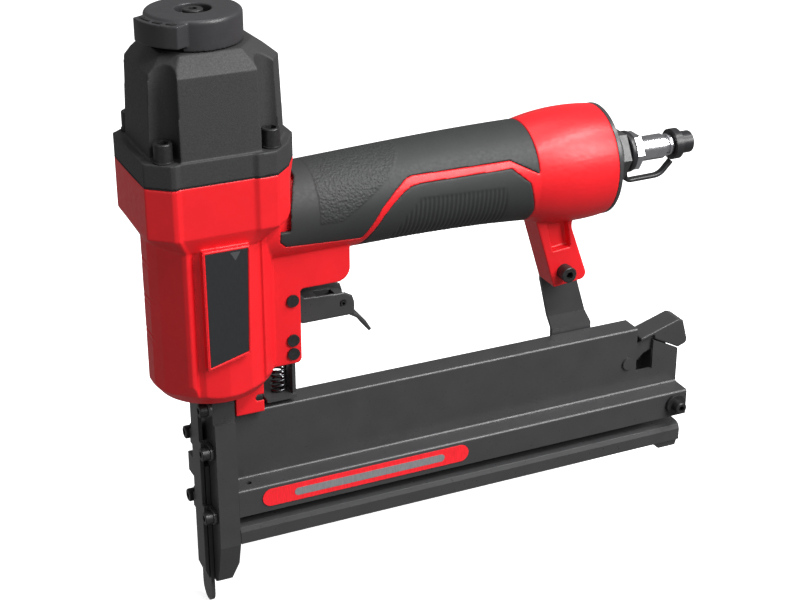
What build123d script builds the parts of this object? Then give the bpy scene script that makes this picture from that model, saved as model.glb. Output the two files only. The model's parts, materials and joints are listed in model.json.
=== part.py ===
from build123d import *
import os

# Pneumatic brad nailer, millimetres.
# Frame: origin on the drive axis where it leaves the nose, +Z up along the drive axis,
# +X back towards the air inlet, the whole tool nearly symmetric about the plane y = 0.

# ---- driving dimensions -------------------------------------------------------------
NOSE_HALF = 15.5            # half width of the nose side plates and of the magazine
NOSE_FRONT = -4.5
NOSE_BACK = 4.4
MAG_BOTTOM = 20.8
MAG_TOP = 77.5
MAG_REAR = 223.5
SKIRT_BOTTOM = 34.0
LEDGE_Z = 46.4              # step from the narrow web to the wide magazine
WEB_HALF = 5.7
SHEET = 1.5
TRACK_TOP = 52.0            # top of the track the fasteners stand against
ROD_Z = 57.0                # guide rod of the pusher
BODY_BOTTOM = 91.0
SHOULDER_LOW = 159.5        # the body widens into its flange between these heights
SHOULDER_HIGH = 166.5
PARTING_Z = 187.5           # cap meets body
FLANGE_TOP = 197.0
CAP_TOP = 236.0
DEFLECTOR_TOP = 248.0
GASKET_HALF = 0.2            # half thickness of the gasket under the cap
INLET_Z = 162.2             # axis of the air inlet fittings
BELL_Z = 161.5              # axis of the rear bell
GRIP_END = 139.4            # grip ends, the swollen rear bell begins
BELL_END = 176.2
EAR_HALF = 12.0
EAR_BACK = 35.4             # rear edge of the ear that carries the trigger and guide pins
TRIGGER_PIVOT = (31.8, 126.9)
GUIDE_PIN_X = 31.6
GUIDE_PIN_Z = [109.3, 103.2]
VALVE_X = 45.0              # axis of the trigger valve
SPRING_X = 29.1             # axis of the contact safety's spring
TRIP_PIVOT = (55.9, 119.0)
LATCH_PIVOT = (196.7, 60.9)
LEG_SCREW = (160.2, 114.2)
STRAP_SCREW = (173.5, 64.0)      # lower screw of the rear strap, into the magazine web
END_SCREW = (217.4, 40.3)
SCREW_PLACES = [(-20.8, -20.5), (-20.8, 20.5), (21.7, -20.5), (21.7, 20.5)]
NOSE_SCREW_Z = [34.3, 64.8, 85.0]
NOSE_SCREW_Y = 10.5
MOUNT_SCREW_Y = 6.0              # the two screws that hold the nose to the housing's foot
MOUNT_SCREW_Z = 84.5
BEND_RADIUS = 1.2                # outside bend of the magazine's sheet
GRIP_SKIN = 2.3                  # thickness of the rubber grips
PISTON_R = 14.9
SLEEVE_R = 17.2
FIT = 0.05                  # radial clearance of a running fit
GAP = 0.3                   # clearance between pieces that only pass each other

# outlines seen from above, as (x, y) for y >= 0, from the front round to the rear
FLANGE = [(-28.8, 6), (-28.6, 19.5), (-20, 26.6), (-18.2, 27), (-16.6, 26.1), (12.4, 26.1),
          (14.2, 27), (22, 26.6), (29, 19.5), (35, 8.6)]
BARREL = [(-24.8, 4), (-22.6, 10.2), (-16.4, 22.0), (-14.9, 23.4), (-13.2, 23.0), (-12.2, 21.8),
          (-9.6, 23.6), (0, 24.6), (9.6, 23.6), (14.6, 21.4), (15.1, 20.2), (16.0, 20.2),
          (16.5, 21.2), (22.4, 14.5), (25, 8)]
NECK = [(-24.8, 4), (-22.6, 10.2), (-16.4, 22.0), (-14.9, 23.4), (-13.2, 23.0), (9.6, 23.6),
        (14.6, 22.4), (16.5, 21.2), (22.4, 14.5), (25, 8)]
CAP_WALL = [(-25, 5), (-24.8, 17.5), (-17, 25.2), (-10, 25.2), (10, 25.2), (17.5, 25),
            (26, 17.5), (31.5, 8.6)]
CAP_SHOULDER = [(-23.6, 5), (-23.4, 16.5), (-16, 24.4), (-10, 24.4), (10, 24.4), (16.5, 24.2),
                (25, 16.5), (30.4, 8)]
CAP_ROOF = [(-17.6, 4), (-17.4, 12), (-12, 18.2), (-8, 18.2), (8, 18.2), (12, 18.2), (17, 12),
            (21, 6)]

# ellipses along the handle, as (x, centre z, half width, half height)
HANDLE_SECTIONS = [(18, 161.4, 18.6, 19.0), (44, 161.9, 19.0, 19.5), (89, 162.9, 19.9, 20.3),
                   (GRIP_END, 162.2, 21.0, 21.8)]
BELL_SECTIONS = [(GRIP_END, 162.2, 21.0, 21.8), (147, 161.9, 22.3, 23.6),
                 (BELL_END, BELL_Z, 22.9, 24.2)]

# side views of the two rubber grips, as (x, z); each runs past the handle above or below
UPPER_GRIP = [(30, 200), (30, 169), (25.2, 164.5), (25.2, 155.5), (28, 152.6), (61, 150.4),
              (68.5, 163.4), (74.4, 169.1), (79.6, 173.0), (82.5, 173.9), (126.6, 173.8),
              (GRIP_END - 0.2, 167.0), (GRIP_END - 0.2, 200)]
LOWER_GRIP = [(57, 137), (62.6, 147.6), (65.6, 153.4), (69.4, 159.8), (73.4, 164.4),
              (77.8, 168.0), (81.4, 169.9), (85.5, 170.6), (126.5, 170.9), (134.8, 163.8),
              (138.6, 150), (138.6, 130), (57, 130)]


# ---- helpers ------------------------------------------------------------------------
def outline(half):
    """Close a half outline by mirroring it about y = 0."""
    return half + [(x, -y) for x, y in reversed(half)]


def prism_z(points, z0, z1):
    return extrude(Plane.XY.offset(z0) * Polygon(*points, align=None), z1 - z0, dir=(0, 0, 1))


def prism_y(points, y0, y1):
    """Extrude a polygon given as (x, z) points from y0 to y1."""
    return extrude(Plane.XZ.offset(-y1) * Polygon(*points, align=None), y1 - y0, dir=(0, -1, 0))


def rounded_prism_y(points, radii, y0, y1):
    """Like prism_y, with a radius on the corners listed as {index: radius}."""
    face = Polygon(*points, align=None)
    for index, radius in radii.items():
        corner = face.vertices().sort_by_distance(Vector(*points[index], 0))[0]
        face = fillet(corner, radius)
    return extrude(Plane.XZ.offset(-y1) * face, y1 - y0, dir=(0, -1, 0))


def prism_x(points, x0, x1):
    """Extrude a polygon given as (y, z) points from x0 to x1."""
    return extrude(Plane.YZ.offset(x0) * Polygon(*points, align=None), x1 - x0, dir=(1, 0, 0))


def loft_z(low, z0, high, z1):
    low_face = Plane.XY.offset(z0) * Polygon(*low, align=None)
    high_face = Plane.XY.offset(z1) * Polygon(*high, align=None)
    return loft([low_face, high_face], ruled=True)


def rod_z(x, y, z0, z1, r):
    return Pos(x, y, z0) * Cylinder(r, z1 - z0, align=(Align.CENTER, Align.CENTER, Align.MIN))


def rod_x(x0, x1, y, z, r):
    base = Cylinder(r, x1 - x0, align=(Align.CENTER, Align.CENTER, Align.MIN))
    return Pos(x0, y, z) * Rot(0, 90, 0) * base


def rod_y(x, y0, y1, z, r):
    base = Cylinder(r, y1 - y0, align=(Align.CENTER, Align.CENTER, Align.MIN))
    return Pos(x, y0, z) * Rot(-90, 0, 0) * base


def block(x0, x1, y0, y1, z0, z1):
    centre = Pos((x0 + x1) / 2, (y0 + y1) / 2, (z0 + z1) / 2)
    return centre * Box(x1 - x0, y1 - y0, z1 - z0)


def both_sides(solid):
    return solid + mirror(solid, about=Plane.XZ)


def ring_z(x, y, z, major, minor):
    return Pos(x, y, z) * Torus(major, minor)


def ring_x(x, y, z, major, minor):
    return Pos(x, y, z) * Rot(0, 90, 0) * Torus(major, minor)


def coil_z(x, y, z0, z1, radius, wire, turns):
    """Helical spring standing along Z, its wire ends inside z0..z1."""
    height = z1 - z0 - 2 * wire
    path = Helix(pitch=height / turns, height=height, radius=radius)
    section = Plane(origin=path @ 0, z_dir=path % 0) * Circle(wire)
    return Pos(x, y, z0 + wire) * sweep(section, path=path, is_frenet=True)


def socket_screw(head_r, head_h, shank_r, shank_l, hex_af):
    """Socket head screw, head seated on z = 0 and standing up, shank pointing down."""
    head = rod_z(0, 0, 0, head_h, head_r)
    head = chamfer(head.edges().group_by(Axis.Z)[-1], 0.35)
    hexagon = RegularPolygon(hex_af / 2, 6, major_radius=False)
    socket = extrude(Plane.XY.offset(head_h) * hexagon, -head_h * 0.55)
    return head - socket + rod_z(0, 0, -shank_l, 0.01, shank_r)


def save(name, *shapes):
    """Write every solid of the given shapes to one STEP file."""
    solids = [solid for shape in shapes for solid in shape.solids()]
    whole = solids[0] if len(solids) == 1 else Compound(children=solids)
    export_step(whole, f"parts/{name}.step")


# ---- housing, handle and grips ------------------------------------------------------

def lofted_handle(sections, inset):
    """Handle between its elliptical sections, drawn inside its surface by inset."""
    return loft([Plane.YZ.offset(x) * Pos(0, z) * Ellipse(half_y - inset, half_z - inset)
                 for x, z, half_y, half_z in sections])


def make_housing():
    body = prism_z(outline(FLANGE), SHOULDER_HIGH, PARTING_Z - GASKET_HALF)
    body += loft_z(outline(NECK), SHOULDER_LOW, outline(FLANGE), SHOULDER_HIGH)
    barrel = prism_z(outline(BARREL), BODY_BOTTOM, SHOULDER_LOW + 0.01)
    # rounded lower end of the barrel
    dome = [(0, BODY_BOTTOM), (17, BODY_BOTTOM), (21.5, 92.6), (25.4, 97.5), (29, 106),
            (32, 116), (32, 165), (0, 165)]
    barrel &= revolve(Plane.XZ * Polygon(*dome, align=None), Axis.Z)
    body += barrel
    # flat raised pads for the side plates
    for side in (-1, 1):
        pad = [(-9.6, 110.5), (-9.6, 160.5), (9.8, 160.5), (8.6, 115)]
        y0, y1 = sorted((side * 22.0, side * 26.2))
        body += prism_y(pad, y0, y1)
    # three pairs of shallow grooves across the front panel
    for z in (147.5, 132.0, 116.5):
        for dz in (0, 2.4):
            body -= block(-27, -24.2, -7.5, 7.5, z + dz, z + dz + 1.0)
    # handle core, full section; grips are let into it
    body += lofted_handle(HANDLE_SECTIONS, 0)
    body += lofted_handle(BELL_SECTIONS, 0)
    # trigger housing and the ear in front of it
    ear = [(18, 98.5), (EAR_BACK, 98.5), (EAR_BACK, 131.2), (57.3, 131.2), (57.3, 152), (18, 152)]
    body += rounded_prism_y(ear, {1: 2.2, 2: 1.4, 3: 6.0}, -EAR_HALF, EAR_HALF)
    # rear leg
    leg = [(141, 150), (145.8, 139.4), (155.7, 107.2), (172.6, 108.9), (163.4, 134.4),
           (163.6, 139.6), (168, 150)]
    body += rounded_prism_y(leg, {3: 3.0, 4: 5.0}, -7, 7)
    pocket = [(150.6, 139.0), (154.4, 124.4), (163.2, 125.2), (161.0, 138.2)]
    body -= prism_y(pocket, -8, -3.2)
    body -= prism_y(pocket, 3.2, 8)
    # foot under the barrel
    body += block(7, 19.5, -9, 9, 77.9, BODY_BOTTOM + 2)
    # grip recesses
    shell = lofted_handle(HANDLE_SECTIONS, -6) - lofted_handle(HANDLE_SECTIONS, GRIP_SKIN)
    body -= shell & prism_y(UPPER_GRIP, -40, 40)
    body -= shell & prism_y(LOWER_GRIP, -40, 40)
    # cylinder bore, air reservoir and the hole for the nose spigot
    body -= rod_z(0, 0, 94, PARTING_Z, 20.5)
    body -= rod_z(0, 0, 90, 95, 6.4)
    body -= rod_x(10, 166, 0, BELL_Z, 14.5)
    body -= rod_x(164, 180, 0, BELL_Z, 19.8)
    # trigger valve bore, trigger slot and spring seat
    body -= rod_z(VALVE_X, 0, 130, 150, 7.0)
    body -= block(26.5, 60, -7.6, 7.6, 100.2, 131.2)
    body -= block(33.0, 40, -7.6, 7.6, 95, 101)
    body -= block(18, 26.6, -7.6, 7.6, 95, 100.2) - rod_z(0, 0, 90, 110, 25.6)
    # screw holes
    for x, y in SCREW_PLACES:
        body -= rod_z(x, y, 172, 188, 2.0)
    body -= rod_y(LEG_SCREW[0], -9, 9, LEG_SCREW[1], 2.05)
    body -= rod_y(TRIGGER_PIVOT[0], -14, 14, TRIGGER_PIVOT[1], 1.9)
    for z in GUIDE_PIN_Z:
        body -= rod_y(GUIDE_PIN_X, -14, 14, z, 1.5)
    for y in (-MOUNT_SCREW_Y, MOUNT_SCREW_Y):
        body -= rod_x(5, 21, y, MOUNT_SCREW_Z, 1.65)
        body -= rod_x(15.8, 21, y, MOUNT_SCREW_Z, 3.1)
    return body


def make_grips():
    skin = lofted_handle(HANDLE_SECTIONS, 0) - lofted_handle(HANDLE_SECTIONS, GRIP_SKIN)
    barrel_clear = prism_z(outline(FLANGE), SHOULDER_HIGH - 7, 220) + prism_z(outline(BARREL), 90, 165)
    barrel_clear += prism_y([(18, 98.5), (57.4, 98.5), (57.4, 148.5), (18, 148.5)], -EAR_HALF, EAR_HALF)
    upper = (skin & prism_y(UPPER_GRIP, -40, 40)) - barrel_clear
    lower = skin & prism_y(LOWER_GRIP, -40, 40)
    return upper, lower


# ---- cap, exhaust and head valve ----------------------------------------------------
def make_cap():
    cap = prism_z(outline(FLANGE), PARTING_Z + GASKET_HALF, FLANGE_TOP)
    cap += loft_z(outline(CAP_WALL), FLANGE_TOP - 0.01, outline(CAP_SHOULDER), 229)
    cap += loft_z(outline(CAP_SHOULDER), 229 - 0.01, outline(CAP_ROOF), CAP_TOP)
    for x, y in SCREW_PLACES:
        sx = 1 if x > 0 else -1
        sy = 1 if y > 0 else -1
        cap -= rod_z(x + sx * 1.2, y + sy * 1.5, FLANGE_TOP, CAP_TOP + 5, 7.0)
        cap -= rod_z(x, y, PARTING_Z - 1, FLANGE_TOP + 1, 2.2)
    # collar the deflector turns on
    cap += rod_z(0, 0, CAP_TOP - 0.01, CAP_TOP + 1.6, 14.5)
    # head valve chamber and exhaust passage with a three-legged boss for the deflector screw
    cap -= rod_z(0, 0, PARTING_Z, 207, 19.0)
    passage = rod_z(0, 0, 206, CAP_TOP + 3, 9.5) - rod_z(0, 0, 206, CAP_TOP + 3, 4.2)
    for turn in (90, 210, 330):
        passage -= Rot(0, 0, turn) * block(3, 11, -1.2, 1.2, 212, CAP_TOP + 4)
    cap -= passage
    cap -= rod_z(0, 0, 218, CAP_TOP + 4, 1.6)
    cap += rod_z(0, 0, 212, 216, 9.0) & rod_z(0, 0, 212, 216, 4.3)
    return cap


def make_gasket():
    gasket = prism_z(outline(FLANGE), PARTING_Z - GASKET_HALF, PARTING_Z + GASKET_HALF)
    gasket -= rod_z(0, 0, PARTING_Z - 2, PARTING_Z + 2, 20.6)
    for x, y in SCREW_PLACES:
        gasket -= rod_z(x, y, PARTING_Z - 2, PARTING_Z + 2, 2.2)
    return gasket


def make_deflector():
    disc = rod_z(0, 0, CAP_TOP + 0.4, DEFLECTOR_TOP, 18.6)
    disc = fillet(disc.edges().group_by(Axis.Z)[-1], 1.6)
    turn = Rot(0, 0, -151)
    hood = rod_z(0, 0, CAP_TOP + 2.4, DEFLECTOR_TOP - 1.0, 23.2)
    disc += turn * (hood & block(6, 26, -11.0, 11.0, 238, 249))
    # hollow inside, open downward under the hood
    roof = DEFLECTOR_TOP - 4.2
    disc -= rod_z(0, 0, CAP_TOP, roof, 15.6)
    inner = rod_z(0, 0, CAP_TOP, roof, 21.2)
    disc -= turn * (inner & block(0, 30, -9.0, 9.0, CAP_TOP, roof))
    disc += rod_z(0, 0, CAP_TOP + 2.0, DEFLECTOR_TOP - 4, 7.6)
    disc -= rod_z(0, 0, DEFLECTOR_TOP - 3.6, DEFLECTOR_TOP + 1, 7.0)
    disc -= rod_z(0, 0, CAP_TOP, DEFLECTOR_TOP, 1.7)
    return disc


def make_head_valve():
    valve = rod_z(0, 0, 185.3, 199, 18.6) - rod_z(0, 0, 180, 200, 10.5)
    valve -= rod_z(0, 0, 192, 194.2, 20) - rod_z(0, 0, 192, 194.2, 17.4)
    return valve


# ---- cylinder, piston and driver ----------------------------------------------------
def make_sleeve():
    sleeve = rod_z(0, 0, 102.5, 183, SLEEVE_R)
    sleeve += rod_z(0, 0, 176, 183, 20.2)
    sleeve += rod_z(0, 0, 128, 133, 20.2)
    sleeve -= rod_z(0, 0, 100, 190, 15.0)
    sleeve -= rod_z(0, 0, 178.4, 180.8, 25) - rod_z(0, 0, 178.4, 180.8, 18.6)
    sleeve -= rod_z(0, 0, 129.4, 131.6, 25) - rod_z(0, 0, 129.4, 131.6, 18.6)
    # return-air holes
    for turn in range(0, 360, 45):
        sleeve -= Rot(0, 0, turn) * rod_x(14, 18, 0, 113, 1.4)
    return sleeve


def make_piston():
    piston = rod_z(0, 0, 175.5, 183.3, PISTON_R)
    piston -= rod_z(0, 0, 178.2, 180.6, 20) - rod_z(0, 0, 178.2, 180.6, 13.0)
    piston -= rod_z(0, 0, 181, 184, 9)
    piston += rod_z(0, 0, 172.5, 175.6, 5)
    piston -= block(-0.55, 0.55, -2.85, 2.85, 171, 179)
    return piston


def make_blade():
    return block(-0.55, 0.55, -2.85, 2.85, 78, 179)


def make_bumper():
    bumper = rod_z(0, 0, 94.2, 101.3, 17.5) - rod_z(0, 0, 90, 110, 7.0)
    return chamfer(bumper.edges().group_by(Axis.Z)[-1], 1.2)


# ---- nose ---------------------------------------------------------------------------
def make_nose_block():
    upper = block(NOSE_FRONT, NOSE_BACK, -NOSE_HALF, NOSE_HALF, MAG_BOTTOM, 79)
    neck = block(NOSE_FRONT, NOSE_BACK + 0.6, -13, 13, 78.9, BODY_BOTTOM - GAP / 3)
    neck += rod_z(0, 0, BODY_BOTTOM - 1, 94, 6.3)
    front_view = [(-NOSE_HALF, MAG_BOTTOM + 0.01), (-10.2, 2), (-7.2, 0), (7.2, 0), (10.2, 2),
                  (NOSE_HALF, MAG_BOTTOM + 0.01)]
    side_view = [(NOSE_FRONT - 1, -1), (0.8, -1), (NOSE_BACK + 0.1, 10.5),
                 (NOSE_BACK + 0.1, MAG_BOTTOM + 1), (NOSE_FRONT - 1, MAG_BOTTOM + 1)]
    low = prism_x(front_view, NOSE_FRONT, NOSE_BACK) & prism_y(side_view, -20, 20)
    nose = upper + neck + low
    # drive channel and the window the fasteners are fed through
    nose -= block(-0.8, 0.8, -3.1, 3.1, -1, 96)
    nose -= block(0, 6, -4.2, 4.2, MAG_BOTTOM + 2, 76)
    for z in NOSE_SCREW_Z:
        for y in (-NOSE_SCREW_Y, NOSE_SCREW_Y):
            nose -= rod_x(NOSE_FRONT - 1, NOSE_FRONT + 7.5, y, z, 1.45)
    for y in (-MOUNT_SCREW_Y, MOUNT_SCREW_Y):
        nose -= rod_x(-3.4, 6, y, MOUNT_SCREW_Z, 1.6)
    return nose


def make_front_plate():
    plate = block(-8.3, -6.6, -5, 5, 0, BODY_BOTTOM - 0.4)
    plate -= prism_y([(-9, -1), (-9, 4.8), (-8.3, 4.8), (-6.5, 0), (-6.5, -1)], -10, 10)
    for z in NOSE_SCREW_Z:
        for side in (-1, 1):
            low, high = z - 3.4, z + 3.4
            wall = block(-8.3, NOSE_FRONT, side * 6.6 - 0.5, side * 6.6 + 0.5, low, high)
            y0, y1 = sorted((side * 4.9, side * 7.1))
            bridge = block(-8.3, -6.6, y0, y1, low, high)
            y0, y1 = sorted((side * 6.2, side * NOSE_SCREW_Y))
            lug = block(-6.2, NOSE_FRONT, y0, y1, low, high)
            boss = rod_x(-6.2, NOSE_FRONT, side * NOSE_SCREW_Y, z, 3.4)
            plate += wall + bridge + boss + lug
            plate -= rod_x(-7, -4, side * NOSE_SCREW_Y, z, 1.6)
    return plate


def make_nose_screws():
    screws = []
    for z in NOSE_SCREW_Z:
        for y in (-NOSE_SCREW_Y, NOSE_SCREW_Y):
            screws.append(Pos(-6.2, y, z) * Rot(0, -90, 0) * socket_screw(2.8, 3.4, 1.4, 8.4, 2.5))
    return screws


def make_contact_arm():
    strip = block(-6.35, -4.75, -5.8, 5.8, -6.5, 56)
    strip += rod_x(-6.35, -4.75, 0, -6.5, 5.8)
    strip += block(-6.35, -4.75, 5.7, 17.6, 42.5, 51.5)
    far = [(-6.35, 42.5), (1, 42.5), (4, 47), (4, 71.5), (34.9, 71.5), (34.9, 81.3), (24, 81.3),
           (20, 79), (-2.5, 79), (-2.5, 53), (-4, 51.5), (-6.35, 51.5)]
    strip += prism_y(far, 16, 17.6)
    return strip


def make_safety_bracket():
    bracket = block(21.5, 34.9, -6.4, 16.0, 79.7, 81.3)
    bracket += block(33.3, 34.9, -5.4, 5.4, 81, 112)
    return bracket


# ---- trigger group ------------------------------------------------------------------
def make_trigger():
    px, pz = TRIGGER_PIVOT
    plate = [(28.2, 124), (28.2, 128.5), (30, 130.3), (34, 130.3), (36.5, 127), (39, 124.6),
             (57.0, 123.6), (60.2, 121.8), (61.2, 118.5), (61.2, 113), (37.6, 113), (36, 117)]
    solid = prism_y(plate, -7.1, 7.1)
    solid -= block(20, 70, -5.9, 5.9, 114.4, 140)
    solid -= block(20, 37.4, -5.9, 5.9, 110, 140)
    tail = [(59.5, 113), (61.2, 113), (64.4, 111.2), (67.4, 107.6), (69.9, 103.4), (68.7, 102.5),
            (66.0, 106.4), (63.0, 109.8), (60, 111.6)]
    solid += prism_y(tail, -4.5, 4.5)
    solid -= rod_y(px, -10, 10, pz, 1.9 + FIT)
    solid -= rod_y(TRIP_PIVOT[0], -10, 10, TRIP_PIVOT[1], 1.2)
    return solid


def make_trip_lever():
    lever = [(33.4, 120.6), (33.4, 122.0), (44, 122.6), (53, 122.2), (58.4, 121), (58.6, 117.2),
             (54, 116.4), (44, 119.4)]
    solid = prism_y(lever, -4.0, 4.0)
    solid -= block(46, 54, -2.6, 2.6, 110, 130)
    solid -= rod_y(TRIP_PIVOT[0], -10, 10, TRIP_PIVOT[1], 1.2 + FIT)
    return solid


def make_trigger_valve():
    body = rod_z(VALVE_X, 0, 131.6, 149, 6.9)
    body -= rod_z(VALVE_X, 0, 138, 150, 4.6)
    body -= rod_z(VALVE_X, 0, 130, 140, 1.8 + FIT)
    body -= rod_z(VALVE_X, 0, 142, 143.6, 8) - rod_z(VALVE_X, 0, 142, 143.6, 5.8)
    return body


def make_stem():
    stem = rod_z(VALVE_X, 0, 127.2, 146.5, 1.8)
    stem += rod_z(VALVE_X, 0, 140.6, 143.0, 4.2)
    return stem


# ---- magazine -----------------------------------------------------------------------
def magazine_section(inset):
    """Half-open steel channel, as (y, z): narrow web above, wide skirt below."""
    top, ledge, low = MAG_TOP - inset, LEDGE_Z - inset, SKIRT_BOTTOM
    web, skirt = WEB_HALF - inset, NOSE_HALF - inset
    return [(-skirt, low), (-skirt, ledge), (-web, ledge), (-web, top), (web, top), (web, ledge),
            (skirt, ledge), (skirt, low)]


def make_magazine():
    front = NOSE_BACK + 0.05
    section = Plane.YZ.offset(front) * Polygon(*magazine_section(0), align=None)
    bends = section.vertices().filter_by(lambda corner: corner.Z > SKIRT_BOTTOM + 1)
    shell = extrude(fillet(bends, BEND_RADIUS), MAG_REAR - front, dir=(1, 0, 0))
    shell -= prism_x(magazine_section(SHEET), 0, MAG_REAR + 5)
    # rear corner, cut away for the latch, and the window beside it
    corner = [(201.2, 80), (201.2, 70), (210.2, 70), (MAG_REAR + 1, 62.7), (MAG_REAR + 1, 80)]
    shell -= prism_y(corner, -8, 8)
    shell -= block(201.4, 210.0, -8, 8, 55.7, 74)
    for side in (-1, 1):
        y0, y1 = sorted((side * 4.1, side * 6))
        shell -= rod_y(LATCH_PIVOT[0], y0, y1, LATCH_PIVOT[1], 1.6)
    shell -= rod_z(10.7, -10.1, 40, 50, 1.3)
    shell -= rod_y(END_SCREW[0], -17, -12, END_SCREW[1], 1.5)
    shell -= rod_y(STRAP_SCREW[0], 4, 7, STRAP_SCREW[1], 2.05)
    return shell


def make_slide():
    half = NOSE_HALF - 0.2
    base = [(-half, MAG_BOTTOM), (half, MAG_BOTTOM), (half, 26.4), (half - 0.9, 28.4),
            (half - 2.9, 29.3), (-half + 2.9, 29.3), (-half + 0.9, 28.4), (-half, 26.4)]
    slide = prism_x(base, NOSE_BACK + 0.3, 221)
    slide -= block(0, 230, 3.4, half - 1.6, MAG_BOTTOM + 1.5, 27.8)
    slide -= block(0, 230, -half + 1.6, -3.4, MAG_BOTTOM + 1.5, 27.8)
    # track the fasteners ride on
    slide += block(NOSE_BACK + 0.3, 199, -2, 2, 26, TRACK_TOP)
    slide += block(195.5, 199, -3.2, 3.2, 26, ROD_Z + 3.2)
    slide += block(NOSE_BACK + 0.3, NOSE_BACK + 1.8, -2, 2, TRACK_TOP - 1, ROD_Z + 3.0)
    # finger foot under the rear end
    slide += prism_y([(207, MAG_BOTTOM + 0.1), (211, 17.4), (220, 17.4), (221, MAG_BOTTOM + 0.1)], -14, 14)
    return slide


def make_pusher():
    pusher = block(8, 26, -3.2, 3.2, 31, TRACK_TOP + 1.6)
    pusher -= block(5, 30, -2.0 - GAP, 2.0 + GAP, 20, TRACK_TOP + 0.4)
    pusher += block(8, 16, -2.6, 2.6, TRACK_TOP + 1.5, ROD_Z + 2.8)
    pusher -= rod_x(0, 30, 0, ROD_Z, 1.2 + FIT)
    return pusher


def make_latch():
    """Bent sheet lever: a hood over the rear corner of the web on two arms inside the web."""
    hood = [(203.4, 71.9), (222.9, 77.9), (225.6, 76.9), (228.4, 66.9), (227.9, 65.2), (223.8, 63.6),
            (210.7, 70.4), (210.7, 72.5), (203.4, 70.3)]
    latch = prism_y(hood, -WEB_HALF, WEB_HALF)
    hollow = [(200, 60), (200, 69.2), (222.5, 76.2), (224.3, 75.6), (226.8, 66.7), (226.8, 60)]
    latch -= prism_y(hollow, -4.1, 4.1)
    arm = [(193.5, 58.2), (193.5, 63.6), (203, 69.6), (222, 75.6), (222, 70), (206, 63.2), (200, 58.2)]
    for side in (-1, 1):
        y0, y1 = sorted((side * 3.4, side * 4.0))
        latch += prism_y(arm, y0, y1)
        y0, y1 = sorted((side * 3.4, side * 5.0))
        latch += prism_y([(212, 71.6), (212, 74.2), (220, 76.6), (220, 68)], y0, y1)
    latch -= rod_y(LATCH_PIVOT[0], -5, 5, LATCH_PIVOT[1], 1.6 + FIT)
    return latch


def make_latch_pins():
    pins = []
    for side in (-1, 1):
        y0, y1 = sorted((side * 3.4, side * 5.75))
        pin = rod_y(LATCH_PIVOT[0], y0, y1, LATCH_PIVOT[1], 1.6)
        y0, y1 = sorted((side * WEB_HALF, side * 6.7))
        pins.append(pin + rod_y(LATCH_PIVOT[0], y0, y1, LATCH_PIVOT[1], 2.8))
    return pins


def make_rear_strap():
    y_top, y_low, t = 7.05, WEB_HALF + 0.05, 2.2
    upper = [(156.6, 120.5), (157.2, 104.5), (161.4, 86), (180.2, 86), (174.6, 104.5), (170.4, 120.5)]
    lower = [(163.0, 80), (163.8, 54), (183.8, 54), (183.0, 80)]
    joggle = [(161.4, 86.01), (163.0, 79.99), (183.0, 79.99), (180.2, 86.01)]
    strap = prism_y(upper, y_top, y_top + t) + prism_y(lower, y_low, y_low + t)
    step = prism_x([(y_low, 79.9), (y_low + t, 79.9), (y_top + t, 86.1), (y_top, 86.1)], 150, 190)
    strap += step & prism_y(joggle, 0, 20)
    strap -= rod_y(LEG_SCREW[0], 5, 12, LEG_SCREW[1], 2.1)
    strap -= rod_y(STRAP_SCREW[0], 5, 12, STRAP_SCREW[1], 2.1)
    return strap


# ---- air inlet ----------------------------------------------------------------------
def hex_bar(x0, x1, across_flats):
    """Hexagonal bar along the inlet axis, two corners pointing sideways."""
    hexagon = RegularPolygon(across_flats / 2, 6, major_radius=False)
    return extrude(Plane.YZ.offset(x0) * Pos(0, INLET_Z) * hexagon, x1 - x0, dir=(1, 0, 0))


def make_end_cap():
    rim = Plane.YZ.offset(BELL_END) * Pos(0, BELL_Z) * Ellipse(22.9, 24.2)
    cap = extrude(rim, 1.6)
    cap += loft([Plane.YZ.offset(BELL_END + 1.59) * Pos(0, BELL_Z) * Ellipse(22.5, 23.8),
                 Plane.YZ.offset(185.3) * Pos(0, INLET_Z) * Ellipse(11.4, 11.4)])
    cap += hex_bar(185.2, 189.2, 20.0)
    cap += rod_x(168, BELL_END + 0.1, 0, BELL_Z, 19.7)
    cap -= ring_x(172, 0, BELL_Z, 18.9, 0.92)
    cap -= rod_x(160, 181, 0, BELL_Z, 15.0)
    cap -= rod_x(160, 200, 0, INLET_Z, 4.9)
    return cap


def make_air_plug():
    plug = rod_x(183.5, 189.3, 0, INLET_Z, 4.85)
    plug += rod_x(189.2, 190.8, 0, INLET_Z, 6.4)
    plug += rod_x(190.7, 194.3, 0, INLET_Z, 5.0)
    plug += hex_bar(194.2, 197.6, 15.0)
    plug += rod_x(197.5, 210.6, 0, INLET_Z, 5.5)
    plug += rod_x(210.5, 213, 0, INLET_Z, 3.9)
    plug += rod_x(212.9, 214.9, 0, INLET_Z, 4.9)
    plug += rod_x(214.8, 221.5, 0, INLET_Z, 3.75)
    plug -= rod_x(180, 230, 0, INLET_Z, 2.6)
    return plug


def make_dust_cap():
    cap = rod_x(215.2, 218.6, 0, INLET_Z, 6.8) + rod_x(218.5, 225.2, 0, INLET_Z, 4.9)
    cap = fillet(cap.edges().sort_by(Axis.X)[-1], 0.7)
    return cap - rod_x(215, 222.2, 0, INLET_Z, 3.75 + FIT)


def make_dust_strap():
    loop = rod_x(190.9, 194.1, 0, INLET_Z, 9.2) - rod_x(190, 197, 0, INLET_Z, 5.1)
    corners = [(192.6, 0, 154.0), (193.0, 0, 148.6), (210.6, 0, 148.8), (216.2, 0, 154.4)]
    path = FilletPolyline(*corners, radius=2.4)
    section = Plane(origin=path @ 0, z_dir=path % 0) * RectangleRounded(2.0, 3.4, 0.8)
    return loop + sweep(section, path=path)


# ---- fasteners, pins and labels -------------------------------------------------------
def make_cap_screws():
    screw = socket_screw(3.6, 6.8, 1.9, 22, 4.2)
    return [Pos(x, y, FLANGE_TOP + 0.8) * screw for x, y in SCREW_PLACES]


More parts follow.
